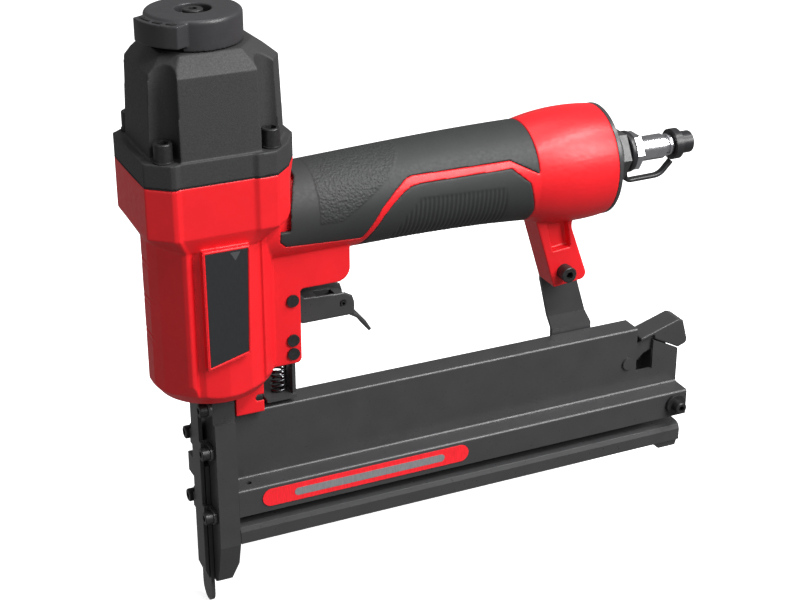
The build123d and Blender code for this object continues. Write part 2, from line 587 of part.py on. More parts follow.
def make_cap_washers():
    return [rod_z(x, y, FLANGE_TOP, FLANGE_TOP + 0.8, 4.0) - rod_z(x, y, 190, 200, 2.1)
            for x, y in SCREW_PLACES]


def make_nose_mount_screws():
    screw = Rot(0, 90, 0) * socket_screw(2.9, 3.2, 1.55, 18.5, 2.5)
    return [Pos(15.8, y, MOUNT_SCREW_Z) * screw for y in (-MOUNT_SCREW_Y, MOUNT_SCREW_Y)]


def headed_pin(x, z, r):
    """Cross pin of the ear with a round head let in at each side."""
    return rod_y(x, -12.9, 12.9, z, r) + both_sides(rod_y(x, -12.9, -12.05, z, 2.6))


def make_trip_lever_pin():
    x, z = TRIP_PIVOT
    return rod_y(x, -7.5, 7.5, z, 1.2) - both_sides(rod_y(x, -7.6, -6.6, z, 0.7))


def make_strap_screws():
    """The long screw through the leg with its nut, and the short one into the magazine web."""
    x, z = LEG_SCREW
    long_screw = Pos(x, -7, z) * Rot(90, 0, 0) * socket_screw(3.5, 5.4, 2.0, 19.5, 3.0)
    hexagon = Plane.XZ.offset(-12.4) * Pos(x, z) * RegularPolygon(3.5, 6, major_radius=False)
    nut = extrude(hexagon, 3.1) - rod_y(x, 8, 14, z, 2.0)
    seat = Pos(STRAP_SCREW[0], 7.95, STRAP_SCREW[1])
    short_screw = seat * Rot(-90, 0, 0) * socket_screw(3.4, 3.2, 2.0, 3.6, 2.5)
    return long_screw, nut, short_screw


def make_end_screw():
    x, z = END_SCREW
    washer = rod_y(x, -17.1, -NOSE_HALF, z, 5.0) - rod_y(x, -20, -10, z, 1.5)
    screw = Pos(x, -17.1, z) * Rot(90, 0, 0) * socket_screw(2.75, 4.2, 1.45, 4.6, 2.5)
    return screw, washer


def make_magazine_label():
    """Long rounded label on the near side, with a narrower window let into it."""
    face = Pos(0, -NOSE_HALF, 40.5) * Rot(90, 0, 0)
    pill = face * Pos(62.7, 0) * extrude(SlotOverall(96, 8.0), 0.4)
    window = face * Pos(64, 0) * extrude(SlotOverall(70, 3.5), 0.6)
    return pill - window, window


# ---- build --------------------------------------------------------------------------
os.makedirs("parts", exist_ok=True)

grip_upper, grip_lower = make_grips()
save("body_housing", make_housing())
save("grip_upper", grip_upper)
save("grip_lower", grip_lower)

save("cylinder_cap", make_cap())
save("cap_gasket", make_gasket())
save("cap_screws", *make_cap_screws())
save("cap_washers", *make_cap_washers())
save("exhaust_deflector", make_deflector())
save("deflector_washer", rod_z(0, 0, 244.45, 245.2, 5.6) - rod_z(0, 0, 240, 250, 1.6))
save("deflector_screw", Pos(0, 0, 245.2) * socket_screw(3.9, 2.6, 1.55, 25.5, 3.2))
save("exhaust_silencer", rod_z(0, 0, 207.1, 211.9, 9.3) - rod_z(0, 0, 200, 230, 4.4))
save("head_valve", make_head_valve())
save("head_valve_o_ring", ring_z(0, 0, 193.1, 18.2, 0.78))
save("head_valve_spring", coil_z(0, 0, 199.1, 206.9, 14, 0.8, 3))

save("cylinder_sleeve", make_sleeve())
save("cylinder_o_rings", *[ring_z(0, 0, z, 19.55, 0.93) for z in (179.6, 130.5)])
save("cylinder_seal", rod_z(0, 0, 183.0, 184.9, 19.0) - rod_z(0, 0, 180, 190, 15.2))
save("piston", make_piston())
save("piston_o_ring", ring_z(0, 0, 179.4, 13.95, 0.95))
save("driver_blade", make_blade())
save("bumper", make_bumper())

save("nose_block", make_nose_block())
save("front_plate", make_front_plate())
save("nose_screws", *make_nose_screws())
save("nose_mount_screws", *make_nose_mount_screws())
save("contact_arm", make_contact_arm())
save("safety_bracket", make_safety_bracket())
save("safety_spring", coil_z(SPRING_X, 0, 81.4, 98.4, 3.0, 0.5, 8))

save("trigger", make_trigger())
save("trigger_pin", headed_pin(*TRIGGER_PIVOT, 1.9))
save("guide_pins", *[headed_pin(GUIDE_PIN_X, z, 1.5) for z in GUIDE_PIN_Z])
save("trip_lever", make_trip_lever())
save("trip_lever_pin", make_trip_lever_pin())
save("trigger_valve_body", make_trigger_valve())
save("trigger_valve_o_ring", ring_z(VALVE_X, 0, 142.8, 6.4, 0.58))
save("trigger_valve_stem", make_stem())
save("trigger_valve_spring", coil_z(VALVE_X, 0, 143.1, 148.9, 3.2, 0.4, 3))

save("magazine_body", make_magazine())
save("magazine_slide", make_slide())
save("pusher", make_pusher())
save("pusher_guide_rod", rod_x(NOSE_BACK + 1.8, 195.5, 0, ROD_Z, 1.2))
save("pusher_spring", rod_x(16.2, 195.3, 0, ROD_Z, 2.5) - rod_x(10, 200, 0, ROD_Z, 1.7))
save("latch_lever", make_latch())
save("latch_pins", *make_latch_pins())
save("rear_strap", make_rear_strap())
leg_screw, leg_nut, web_screw = make_strap_screws()
save("strap_screw", leg_screw)
save("strap_nut", leg_nut)
save("magazine_bracket_screw", web_screw)
tail_screw, tail_washer = make_end_screw()
save("end_screw", tail_screw)
save("end_screw_washer", tail_washer)

save("end_cap", make_end_cap())
save("end_cap_o_ring", ring_x(172, 0, BELL_Z, 18.9, 0.88))
save("air_filter", rod_x(177.5, 180.8, 0, BELL_Z, 14.5) - rod_x(170, 190, 0, INLET_Z, 6.2))
save("air_plug", make_air_plug())
save("dust_cap", make_dust_cap())
save("dust_cap_strap", make_dust_strap())

plate_outline = [(-8.4, 111.5), (-8.6, 159.6), (8.6, 159.6), (7.4, 116)]
save("side_plates", *[prism_y(plate_outline, y, y + 0.4) for y in (-26.6, 26.2)])
label, window = make_magazine_label()
save("magazine_label", label)
save("magazine_window", window & block(0, 200, -16, -NOSE_HALF, 30, 50))
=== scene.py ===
import json
import math

import bmesh
import bpy
import numpy as np
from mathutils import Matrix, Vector


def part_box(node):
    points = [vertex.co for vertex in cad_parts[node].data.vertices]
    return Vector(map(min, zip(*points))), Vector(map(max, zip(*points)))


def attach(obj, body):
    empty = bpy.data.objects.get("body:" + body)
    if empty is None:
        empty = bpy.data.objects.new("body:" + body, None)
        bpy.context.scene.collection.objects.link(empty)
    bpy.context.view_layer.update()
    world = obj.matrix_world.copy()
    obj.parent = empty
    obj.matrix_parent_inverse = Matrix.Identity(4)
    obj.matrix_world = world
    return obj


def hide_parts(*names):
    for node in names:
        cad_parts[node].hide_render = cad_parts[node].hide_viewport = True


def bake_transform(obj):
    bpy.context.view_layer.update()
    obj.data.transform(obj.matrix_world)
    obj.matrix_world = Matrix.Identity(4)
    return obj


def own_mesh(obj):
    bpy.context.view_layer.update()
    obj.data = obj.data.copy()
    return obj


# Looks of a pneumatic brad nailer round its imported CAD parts. Metres, in the CAD frame:
# origin on the drive axis at the nose, +Z up, +X back towards the air inlet.
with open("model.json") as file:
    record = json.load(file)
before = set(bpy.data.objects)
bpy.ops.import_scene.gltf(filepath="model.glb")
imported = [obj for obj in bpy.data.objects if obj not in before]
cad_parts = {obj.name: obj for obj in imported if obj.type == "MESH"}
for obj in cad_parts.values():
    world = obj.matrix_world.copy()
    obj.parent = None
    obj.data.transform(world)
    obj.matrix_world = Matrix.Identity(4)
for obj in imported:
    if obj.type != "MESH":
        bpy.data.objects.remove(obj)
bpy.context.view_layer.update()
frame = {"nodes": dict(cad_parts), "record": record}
MM = 0.001

# ---- camera and light -----------------------------------------------------------------
AIM = Vector((0.0926, 0.0166, 0.1035))
DISTANCE = 0.76
AZIMUTH = math.radians(-24.75)
ELEVATION = math.radians(24.73)
LENS = 78.75
SENSOR_WIDTH = 36
CLIP_NEAR, CLIP_FAR = 0.02, 50
WORLD_LIGHT = 0.22
LAMP_AIM = (0.08, 0, 0.12)
# name, place, (width, height), watts
LAMPS = [
    ("key", (0.75, -0.95, 0.80), (0.55, 0.55), 15),
    ("strip", (0.50, -0.50, 1.05), (0.9, 0.12), 12),
    ("top", (0.12, 0.05, 1.30), (0.5, 0.9), 4),
    ("fill", (-0.95, -0.60, 0.45), (0.25, 0.9), 1.3),
]
FLOOR_HALF = 4.0
FLOOR_CENTRE_X = 0.1
FLOOR_DROP = 0.3 * MM            # gap under the lowest point of the nose
FLOOR_GLOW = 0.74

# ---- shape work -----------------------------------------------------------------------
CASTING_VOXEL = 0.42 * MM
GRIP_VOXEL = 0.45 * MM
HANDLE_AXIS_Z = 0.1618           # mean height of the handle's centre line
RIDGE_PITCH = 1.95 * MM
RIDGE_DEPTH = 0.42 * MM
RIDGE_FADE = 1.6 * MM            # how far the rings take to reach their full depth
LEATHER_FADE = 1.2 * MM
# side view of the ridged part of the lower grip, as (x, z)
RIDGE_AREA = [(0.0850, 0.1656), (0.1240, 0.1642), (0.1262, 0.1509), (0.1262, 0.1300),
              (0.0690, 0.1300), (0.0727, 0.1472), (0.0785, 0.1585)]
# side view of the leather-grained part of the upper grip, as (x, z)
LEATHER_AREA = [(0.0415, 0.2000), (0.0415, 0.1600), (0.0600, 0.1600), (0.0745, 0.1749),
                (0.0868, 0.1828), (0.0868, 0.2000)]

# ---- side plates, as seen from the side in (x, z) ---------------------------------------
PLATE_CORNERS = [(-8.4 * MM, 111.5 * MM), (-8.6 * MM, 159.6 * MM), (8.6 * MM, 159.6 * MM),
                 (7.4 * MM, 116.0 * MM)]
PLATE_MIDDLE = Vector((-0.2 * MM, 137.0 * MM))
BORDER_GROWTH = 0.55 * MM        # the border's middle runs this far outside the plate
BORDER_DEPTH = 0.25 * MM         # and this far below its face
BORDER_CORNER = 0.9 * MM
BORDER_RADIUS = 0.55 * MM
LINE_GROWTH = -1.0 * MM          # the red line runs inside the plate's outline
LINE_CORNER = 0.8 * MM
LINE_RADIUS = 0.16 * MM
TRIANGLE = [(1.4 * MM, 158.9 * MM), (5.6 * MM, 158.9 * MM), (3.5 * MM, 155.4 * MM)]
TRIANGLE_SUNK = 0.02 * MM
TRIANGLE_RAISED = 0.06 * MM

# ---- marks on the deflector's spout -----------------------------------------------------
MARK_DROP = 1.0 * MM             # the spout's roof lies this far below the deflector's top
MARK_HALF_THICK = 0.3 * MM
MARK_RADIUS = 20.6 * MM
MARK_TURN = math.radians(-151)
ARC_STEPS = 14
ARROW_SPREAD = 1.45              # half width of an arrowhead, in widths of its arc
ARROW_TIP = 0.02 * MM
# name, start and end in radians from MARK_TURN, width, angle of the arrowhead
TURN_MARKS = [
    ("turn_mark_bar", -0.02, 0.16, 1.6 * MM, 0.0),
    ("turn_mark_left", -0.12, -0.36, 0.9 * MM, -0.12),
    ("turn_mark_right", 0.26, 0.36, 0.9 * MM, 0.10),
]

# ---- dust cap strap ---------------------------------------------------------------------
STRAP_ROUTE = [(192.6, 154.2), (193.0, 148.6), (210.6, 148.8), (216.2, 154.6)]
STRAP_BEND = 3.0 * MM
STRAP_WIDTH, STRAP_THICK = 3.4 * MM, 1.9 * MM
STRAP_STEPS = 6                  # stations between two points of the bent route
LOOP_X = 192.5 * MM
LOOP_RADIUS = 7.1 * MM
LOOP_WIDTH, LOOP_THICK = 4.0 * MM, 3.1 * MM
LOOP_STATIONS = 48


def srgb(red, green, blue):
    """An 8-bit screen colour as the linear colour a shader takes."""
    channels = [value / 255 for value in (red, green, blue)]
    linear = [c / 12.92 if c <= 0.04045 else ((c + 0.055) / 1.055) ** 2.4 for c in channels]
    return (*linear, 1.0)


def shade(colour, factor):
    """A linear colour made darker or brighter by a factor."""
    return (*[min(1.0, channel * factor) for channel in colour[:3]], 1.0)


# ---- materials ------------------------------------------------------------------------
class Surface:
    """A Principled material grown by a few node-building calls, all in object coordinates."""

    def __init__(self, name, metallic=0.0, coat=0.0, coat_roughness=0.2, specular=0.5):
        self.material = bpy.data.materials.new(name)
        self.material.use_nodes = True
        tree = self.material.node_tree
        self.nodes, self.links = tree.nodes, tree.links
        self.shader = self.nodes["Principled BSDF"]
        self.shader.inputs["Metallic"].default_value = metallic
        self.shader.inputs["Coat Weight"].default_value = coat
        self.shader.inputs["Coat Roughness"].default_value = coat_roughness
        self.shader.inputs["Specular IOR Level"].default_value = specular
        self.place = self.nodes.new("ShaderNodeTexCoord").outputs["Object"]
        self.normal = None

    def stretched(self, scale):
        mapping = self.nodes.new("ShaderNodeMapping")
        mapping.inputs["Scale"].default_value = scale
        self.links.new(self.place, mapping.inputs["Vector"])
        return mapping.outputs["Vector"]

    def noise(self, size, detail=4.0, stretch=(1, 1, 1)):
        node = self.nodes.new("ShaderNodeTexNoise")
        node.inputs["Scale"].default_value = 1 / size
        node.inputs["Detail"].default_value = detail
        self.links.new(self.stretched(stretch), node.inputs["Vector"])
        return node.outputs["Fac"]

    def cells(self, size, stretch=(1, 1, 1)):
        node = self.nodes.new("ShaderNodeTexVoronoi")
        node.feature = "SMOOTH_F1"
        node.inputs["Scale"].default_value = 1 / size
        self.links.new(self.stretched(stretch), node.inputs["Vector"])
        return node.outputs["Distance"]

    def ramp(self, source, low, high):
        """Spread the middle of a pattern from one colour to another."""
        node = self.nodes.new("ShaderNodeValToRGB")
        node.color_ramp.elements[0].position = 0.32
        node.color_ramp.elements[0].color = low
        node.color_ramp.elements[1].position = 0.68
        node.color_ramp.elements[1].color = high
        self.links.new(source, node.inputs["Fac"])
        return node.outputs["Color"]

    def mixed(self, source, low, high):
        """Blend two colour outputs by a pattern."""
        node = self.nodes.new("ShaderNodeMix")
        node.data_type = "RGBA"
        self.links.new(source, node.inputs["Factor"])
        self.links.new(low, node.inputs["A"])
        self.links.new(high, node.inputs["B"])
        return node.outputs["Result"]

    def attribute(self, name):
        node = self.nodes.new("ShaderNodeAttribute")
        node.attribute_name = name
        return node.outputs["Fac"]

    def multiply(self, first, second):
        node = self.nodes.new("ShaderNodeMath")
        node.operation = "MULTIPLY"
        self.links.new(first, node.inputs[0])
        self.links.new(second, node.inputs[1])
        return node.outputs["Value"]

    def colour(self, output):
        self.links.new(output, self.shader.inputs["Base Color"])

    def roughness(self, source, low, high):
        node = self.nodes.new("ShaderNodeMapRange")
        node.inputs["From Min"].default_value = 0.3
        node.inputs["From Max"].default_value = 0.7
        node.inputs["To Min"].default_value = low
        node.inputs["To Max"].default_value = high
        self.links.new(source, node.inputs["Value"])
        self.links.new(node.outputs["Result"], self.shader.inputs["Roughness"])

    def bump(self, source, depth):
        node = self.nodes.new("ShaderNodeBump")
        node.inputs["Strength"].default_value = 1.0
        node.inputs["Distance"].default_value = depth
        self.links.new(source, node.inputs["Height"])
        if self.normal is not None:
            self.links.new(self.normal, node.inputs["Normal"])
        self.normal = node.outputs["Normal"]
        self.links.new(self.normal, self.shader.inputs["Normal"])


def plain_finish(name, colour, rough, spread, grain, depth, **shader):
    """Paint, plastic or metal: slow colour drift, uneven gloss and one fine grain."""
    made = Surface(name, **shader)
    drift = made.noise(9 * MM, detail=3.0)
    made.colour(made.ramp(drift, shade(colour, 1 - spread), shade(colour, 1 + spread)))
    fine = made.noise(grain, detail=5.0)
    made.roughness(made.noise(3 * MM, detail=6.0), rough - 0.05, rough + 0.05)
    made.bump(fine, depth)
    return made.material


def red_paint():
    """Satin red paint with a slight orange peel."""
    made = Surface("red_paint", coat=0.12, coat_roughness=0.25, specular=0.36)
    colour = srgb(226, 28, 36)
    drift = made.noise(14 * MM, detail=3.0)
    made.colour(made.ramp(drift, shade(colour, 0.955), shade(colour, 1.045)))
    made.roughness(made.noise(2.4 * MM, detail=6.0), 0.38, 0.48)
    made.bump(made.noise(1.5 * MM, detail=2.0), 0.010 * MM)
    made.bump(made.noise(0.25 * MM, detail=4.0), 0.004 * MM)
    return made.material


def cap_black():
    """Cast cap in black with a fine pebble grain that catches the light."""
    made = Surface("cap_black", specular=0.38)
    colour = srgb(50, 50, 51)
    speckle = made.noise(0.55 * MM, detail=5.0)
    made.colour(made.ramp(speckle, shade(colour, 0.86), shade(colour, 1.16)))
    made.roughness(made.noise(0.8 * MM, detail=5.0), 0.52, 0.66)
    made.bump(speckle, 0.055 * MM)
    return made.material


def black_coat():
    """Satin black coating on sheet steel and small castings."""
    made = Surface("black_coat", specular=0.40)
    colour = srgb(60, 60, 61)
    drift = made.noise(11 * MM, detail=4.0)
    made.colour(made.ramp(drift, shade(colour, 0.94), shade(colour, 1.06)))
    made.roughness(made.noise(1.6 * MM, detail=6.0), 0.27, 0.36)
    made.bump(made.noise(0.45 * MM, detail=2.0), 0.007 * MM)
    return made.material


def grip_rubber():
    """Soft grip: smooth matt rubber, with leather cells where the leather mark is set."""
    made = Surface("grip_rubber", specular=0.34)
    colour = srgb(50, 51, 51)
    smooth = made.ramp(made.noise(8 * MM), shade(colour, 0.95), shade(colour, 1.05))
    cell = made.cells(0.95 * MM)
    crease = made.noise(1.3 * MM, detail=3.0)
    grained = made.ramp(crease, shade(colour, 0.84), shade(colour, 1.12))
    leather = made.attribute("leather")
    made.colour(made.mixed(leather, smooth, grained))
    made.roughness(made.noise(1.2 * MM, detail=5.0), 0.50, 0.62)
    made.bump(made.noise(0.22 * MM, detail=3.0), 0.008 * MM)
    made.bump(made.multiply(cell, leather), 0.30 * MM)
    made.bump(made.multiply(crease, leather), 0.12 * MM)
    return made.material


def deflector_plastic():
    return plain_finish("deflector_plastic", srgb(50, 50, 52), 0.40, 0.05, 0.5 * MM, 0.016 * MM,
                        specular=0.42)


def black_steel():
    """Black oxide screws: darker, tighter gloss, faint turning marks."""
    made = Surface("black_steel", metallic=0.35, specular=0.5)
    colour = srgb(44, 44, 45)
    made.colour(made.ramp(made.noise(1.2 * MM), shade(colour, 0.8), shade(colour, 1.25)))
    made.roughness(made.noise(0.5 * MM, detail=6.0), 0.30, 0.46)
    made.bump(made.noise(0.3 * MM, detail=3.0), 0.006 * MM)
    return made.material


def chrome():
    """Bright nickel plating with hair-fine turning lines round the fitting."""
    made = Surface("chrome", metallic=1.0)
    colour = srgb(214, 214, 218)
    made.colour(made.ramp(made.noise(4 * MM), shade(colour, 0.93), shade(colour, 1.04)))
    lines = made.noise(0.6 * MM, detail=2.0, stretch=(6, 0.4, 0.4))
    made.roughness(lines, 0.16, 0.26)
    made.bump(lines, 0.003 * MM)
    return made.material


def metal(name, colour, rough, stretch):
    """Bare machined metal with tool lines along one direction."""
    made = Surface(name, metallic=1.0)
    made.colour(made.ramp(made.noise(3 * MM), shade(colour, 0.9), shade(colour, 1.06)))
    lines = made.noise(0.5 * MM, detail=4.0, stretch=stretch)
    made.roughness(lines, rough - 0.07, rough + 0.07)
    made.bump(lines, 0.006 * MM)
    return made.material


def label_film(name, colour, sheen):
    """Printed film over a flat plate: a gloss coat and a faint brushed ground."""
    made = Surface(name, coat=sheen, coat_roughness=0.12, specular=0.45)
    lines = made.noise(0.35 * MM, detail=3.0, stretch=(1, 1, 0.12))
    made.colour(made.ramp(lines, shade(colour, 0.88), shade(colour, 1.12)))
    made.roughness(made.noise(1.8 * MM, detail=5.0), 0.28, 0.40)
    made.bump(lines, 0.003 * MM)
    return made.material


def filter_foam():
    """Open-cell foam: pale struts, with painted shade darkening the pits between them."""
    made = Surface("filter_foam", specular=0.2)
    pit_shade_and_depth = made.cells(0.9 * MM)
    # painted shade: the pits are coloured dark as if shadowed, and the same pattern bumps them in
    made.colour(made.ramp(pit_shade_and_depth, srgb(150, 150, 148), srgb(58, 58, 58)))
    made.roughness(made.noise(0.5 * MM), 0.85, 0.98)
    made.bump(pit_shade_and_depth, -0.35 * MM)
    return made.material


def floor_surface():
    """Pale studio floor, lit a little from within so that it stays white far from the lamps."""
    made = Surface("floor", specular=0.0)
    made.colour(made.ramp(made.noise(0.4), srgb(250, 250, 250), srgb(254, 254, 254)))
    made.roughness(made.noise(0.2), 0.85, 0.95)
    made.shader.inputs["Emission Color"].default_value = (1, 1, 1, 1)
    made.shader.inputs["Emission Strength"].default_value = FLOOR_GLOW
    return made.material


def make_materials():
    """One finish for each material slot of the record."""
    return {
        "red_paint": red_paint(),
        "black_coat": black_coat(),
        "cap_black": cap_black(),
        "grip_rubber": grip_rubber(),
        "deflector_plastic": deflector_plastic(),
        "black_steel": black_steel(),
        "chrome": chrome(),
        "steel": metal("steel", srgb(188, 189, 192), 0.26, (1, 1, 0.2)),
        "spring_steel": metal("spring_steel", srgb(92, 93, 96), 0.30, (1, 1, 0.2)),
        "aluminium": metal("aluminium", srgb(200, 201, 204), 0.34, (0.2, 0.2, 3)),
        "brass": metal("brass", srgb(205, 172, 100), 0.28, (0.2, 0.2, 3)),
        "seal_rubber": plain_finish("seal_rubber", srgb(30, 30, 31), 0.55, 0.08, 0.3 * MM,
                                    0.008 * MM, specular=0.35),
        "black_plastic": plain_finish("black_plastic", srgb(36, 36, 38), 0.36, 0.07, 0.4 * MM,
                                      0.010 * MM, specular=0.45),
        "label_black": label_film("label_black", srgb(38, 39, 41), 0.35),
        "label_red": label_film("label_red", srgb(242, 36, 46), 0.15),
        "window_grey": label_film("window_grey", srgb(128, 128, 130), 0.40),
        "label_grey": label_film("label_grey", srgb(72, 74, 76), 0.30),
        "mark_black": plain_finish("mark_black", srgb(22, 22, 23), 0.5, 0.08, 0.3 * MM,
                                   0.010 * MM),
        "filter_foam": filter_foam(),
    }


# ---- mesh helpers ---------------------------------------------------------------------
def add_piece(name, mesh, material, body=None):
    """Link a mesh as a new object with its finish, riding on a CAD body."""
    piece = bpy.data.objects.new(name, mesh)
    bpy.context.scene.collection.objects.link(piece)
    mesh.materials.clear()
    mesh.materials.append(material)
    if body is not None:
        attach(piece, body)
    return piece


def mesh_from(name, build):
    """Make a mesh by letting build() fill a bmesh."""
    work = bmesh.new()
    build(work)
    bmesh.ops.recalc_face_normals(work, faces=work.faces)
    mesh = bpy.data.meshes.new(name)
    work.to_mesh(mesh)
    work.free()
    return mesh


def vertex_vectors(mesh, kind):
    """The places ("co") or normals ("normal") of a mesh's vertices, one row each."""
    values = np.empty(len(mesh.vertices) * 3)
    mesh.vertices.foreach_get(kind, values)
    return values.reshape(-1, 3)


def inside(places, area, soft):
    """How far each point's side view (x, z) lies inside a convex area, from 0 to 1 over soft."""
    depth = np.full(len(places), 1e9)
    closed = area + area[:1]
    turn = sum((b[0] - a[0]) * (b[1] + a[1]) for a, b in zip(closed, closed[1:]))
    side = 1 if turn > 0 else -1
    for a, b in zip(closed, closed[1:]):
        run, rise = b[0] - a[0], b[1] - a[1]
        length = math.hypot(run, rise)
        distance = side * ((places[:, 0] - a[0]) * rise - (places[:, 2] - a[1]) * run) / length
        depth = np.minimum(depth, distance)
    share = np.clip(depth / soft, 0, 1)
    return share * share * (3 - 2 * share)


def rounded_copy(node, name, voxel, passes, keep):
    """A mesh of a CAD node with its corners softened as a casting or moulding has them."""
    source = frame["nodes"][node].data.copy()
    work = bmesh.new()
    work.from_mesh(source)
    bmesh.ops.remove_doubles(work, verts=work.verts, dist=1e-6)
    work.to_mesh(source)
    work.free()
    helper = bpy.data.objects.new(name + "_helper", source)
    bpy.context.scene.collection.objects.link(helper)
    remesh = helper.modifiers.new("remesh", "REMESH")
    remesh.mode = "VOXEL"
    remesh.voxel_size = voxel
    smooth = helper.modifiers.new("smooth", "SMOOTH")
    smooth.factor = 0.5
    smooth.iterations = passes
    if keep < 1:
        thin = helper.modifiers.new("thin", "DECIMATE")
        thin.ratio = keep
    shown = helper.evaluated_get(bpy.context.evaluated_depsgraph_get())
    mesh = bpy.data.meshes.new_from_object(shown)
    mesh.name = name
    bpy.data.objects.remove(helper)
    mesh.shade_smooth()
    return mesh


def tube(name, points, section, closed=False):
    """Sweep a section, as (across, up) offsets, along points with frames that don't twist."""
    points = [Vector(point) for point in points]
    count = len(points)
    frames = []
    up = None
    for index, point in enumerate(points):
        ahead = points[(index + 1) % count] if closed else points[min(index + 1, count - 1)]
        behind = points[index - 1] if closed or index else points[0]
        along = (ahead - behind).normalized()
        if up is None:
            up = along.orthogonal().normalized()
            if abs(along.y) < 0.9:
                up = along.cross(Vector((0, 1, 0))).normalized()
        up = (up - along * up.dot(along)).normalized()
        frames.append((point, along.cross(up), up))

    def build(work):
        rings = []
        for point, across, upward in frames:
            rings.append([work.verts.new(point + across * a + upward * b) for a, b in section])
        size = len(section)
        for index in range(count if closed else count - 1):
            first, second = rings[index], rings[(index + 1) % count]
            for k in range(size):
                work.faces.new((first[k], first[(k + 1) % size],
                                second[(k + 1) % size], second[k]))
        if not closed:
            work.faces.new(rings[0])
            work.faces.new(rings[-1])

    mesh = mesh_from(name, build)
    mesh.shade_smooth()
    return mesh


def round_section(radius, sides=12):
    angles = [2 * math.pi * k / sides for k in range(sides)]
    return [(radius * math.cos(angle), radius * math.sin(angle)) for angle in angles]


def flat_section(width, thick, corner=0.3):
    """A rounded strip section: width across, thick upward."""
    points = []
    radius = corner * thick
    for turn, (sx, sy) in enumerate([(1, 1), (-1, 1), (-1, -1), (1, -1)]):
        for step in range(4):
            angle = math.pi / 2 * (turn + step / 3)
            points.append((sx * (width / 2 - radius) + radius * math.cos(angle),
                           sy * (thick / 2 - radius) + radius * math.sin(angle)))
    return points


def plate(name, outline, low, high):
    """A flat plate from an (x, z) outline between two y values."""
    def build(work):
        rings = [[work.verts.new((x, y, z)) for x, z in outline] for y in (low, high)]
        count = len(outline)
        work.faces.new(rings[0])
        work.faces.new(rings[1])
        for k in range(count):
            work.faces.new((rings[0][k], rings[0][(k + 1) % count],
                            rings[1][(k + 1) % count], rings[1][k]))
    return mesh_from(name, build)


def rounded_outline(corners, radius, steps=6):
    """Round the corners of a closed (x, z) outline."""
    points = []
    count = len(corners)
    for index in range(count):
        before, here, after = (Vector(corners[(index + k) % count]) for k in (-1, 0, 1))
        start = here + (before - here).normalized() * radius
        end = here + (after - here).normalized() * radius
        for step in range(steps + 1):
            t = step / steps
            points.append(tuple(start * (1 - t) ** 2 + here * 2 * t * (1 - t) + end * t * t))
    return points


# ---- CAD nodes that keep their shape --------------------------------------------------
# width of the broken edges, in mm
SOFT_EDGES = {
    "cap_screws": 0.25, "cap_washers": 0.15, "deflector_screw": 0.2, "deflector_washer": 0.15,
    "nose_block": 0.35, "front_plate": 0.25, "nose_screws": 0.2, "nose_mount_screws": 0.2,
    "contact_arm": 0.3, "safety_bracket": 0.3, "trigger_pin": 0.3, "guide_pins": 0.3,
    "trip_lever": 0.2, "magazine_slide": 0.3, "latch_pins": 0.3, "rear_strap": 0.4,
    "air_plug": 0.25, "end_cap": 0.5,
    "strap_screw": 0.3, "strap_nut": 0.3, "magazine_bracket_screw": 0.3, "end_screw": 0.25,
    "end_screw_washer": 0.25, "dust_cap": 0.2, "side_plates": 0.12, "magazine_label": 0.1,
    "magazine_window": 0.12,
}
SHARP_ANGLE = math.radians(32)
WELD_GAP = 0.002 * MM


def soften(node, width):
    """Break the sharp edges of a CAD node with modifiers, its own mesh untouched."""
    part = frame["nodes"][node]
    part.modifiers.new("weld", "WELD").merge_threshold = WELD_GAP
    bevel = part.modifiers.new("bevel", "BEVEL")
    bevel.width = width * MM
    bevel.segments = 2
    bevel.limit_method = "ANGLE"
    bevel.angle_limit = SHARP_ANGLE
    bevel.use_clamp_overlap = True
    part.modifiers.new("even", "WEIGHTED_NORMAL").keep_sharp = True


def dress_cad_nodes(materials):
    """Give each CAD node the finish of its slot in the record, and break the listed edges."""
    slots = {row["node"]: row["material_slot"] for row in frame["record"]["subparts"]}
    for node, part in frame["nodes"].items():
        part.data.materials.clear()
        part.data.materials.append(materials[slots[node]])
        if node in SOFT_EDGES:
            soften(node, SOFT_EDGES[node])


# ---- castings and grips ---------------------------------------------------------------
def make_castings(materials):
    """The housing, cap, deflector, latch and trigger with softened corners."""
    # node, piece, body, finish, smoothing passes, share of the faces kept
    rows = [
        ("body_housing", "housing_casting", "tool", "red_paint", 3, 0.4),
        ("cylinder_cap", "cap_casting", "tool", "cap_black", 3, 0.4),
        ("exhaust_deflector", "deflector_moulding", "deflector", "deflector_plastic", 3, 0.6),
        ("latch_lever", "latch_hood", "latch", "black_coat", 2, 0.6),
        ("trigger", "trigger_lever", "trigger", "black_coat", 2, 0.6),
    ]
    for node, name, body, finish, passes, keep in rows:
        mesh = rounded_copy(node, name, CASTING_VOXEL, passes, keep)
        piece = add_piece(name, mesh, materials[finish], body)
        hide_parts(node)


def ridge_grip(mesh):
    """Press the rings of the lower grip into its ridged area."""
    places, directions = vertex_vectors(mesh, "co"), vertex_vectors(mesh, "normal")
    radial = places[:, 1:] - np.array([0.0, HANDLE_AXIS_Z])
    radial /= np.linalg.norm(radial, axis=1)[:, None]
    outward = (directions[:, 1:] * radial).sum(axis=1) > 0.5
    wave = 0.5 - 0.5 * np.cos(2 * math.pi * places[:, 0] / RIDGE_PITCH)
    share = inside(places, RIDGE_AREA, RIDGE_FADE) * outward
    places -= directions * (share * wave * RIDGE_DEPTH)[:, None]
    mesh.vertices.foreach_set("co", places.ravel())
    mesh.update()


def make_grips(materials):
    """The two grips: rings pressed into the lower, a leather mark on the front of the upper."""
    for node, name in (("grip_upper", "upper_grip_pad"), ("grip_lower", "lower_grip_pad")):
        mesh = rounded_copy(node, name, GRIP_VOXEL, 3, 1)
        if node == "grip_lower":
            ridge_grip(mesh)
            marks = np.zeros(len(mesh.vertices))
        else:
            marks = inside(vertex_vectors(mesh, "co"), LEATHER_AREA, LEATHER_FADE)
        leather = mesh.attributes.new("leather", "FLOAT", "POINT")
        leather.data.foreach_set("value", marks.astype(np.float32))
        piece = add_piece(name, mesh, materials["grip_rubber"], "tool")
        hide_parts(node)


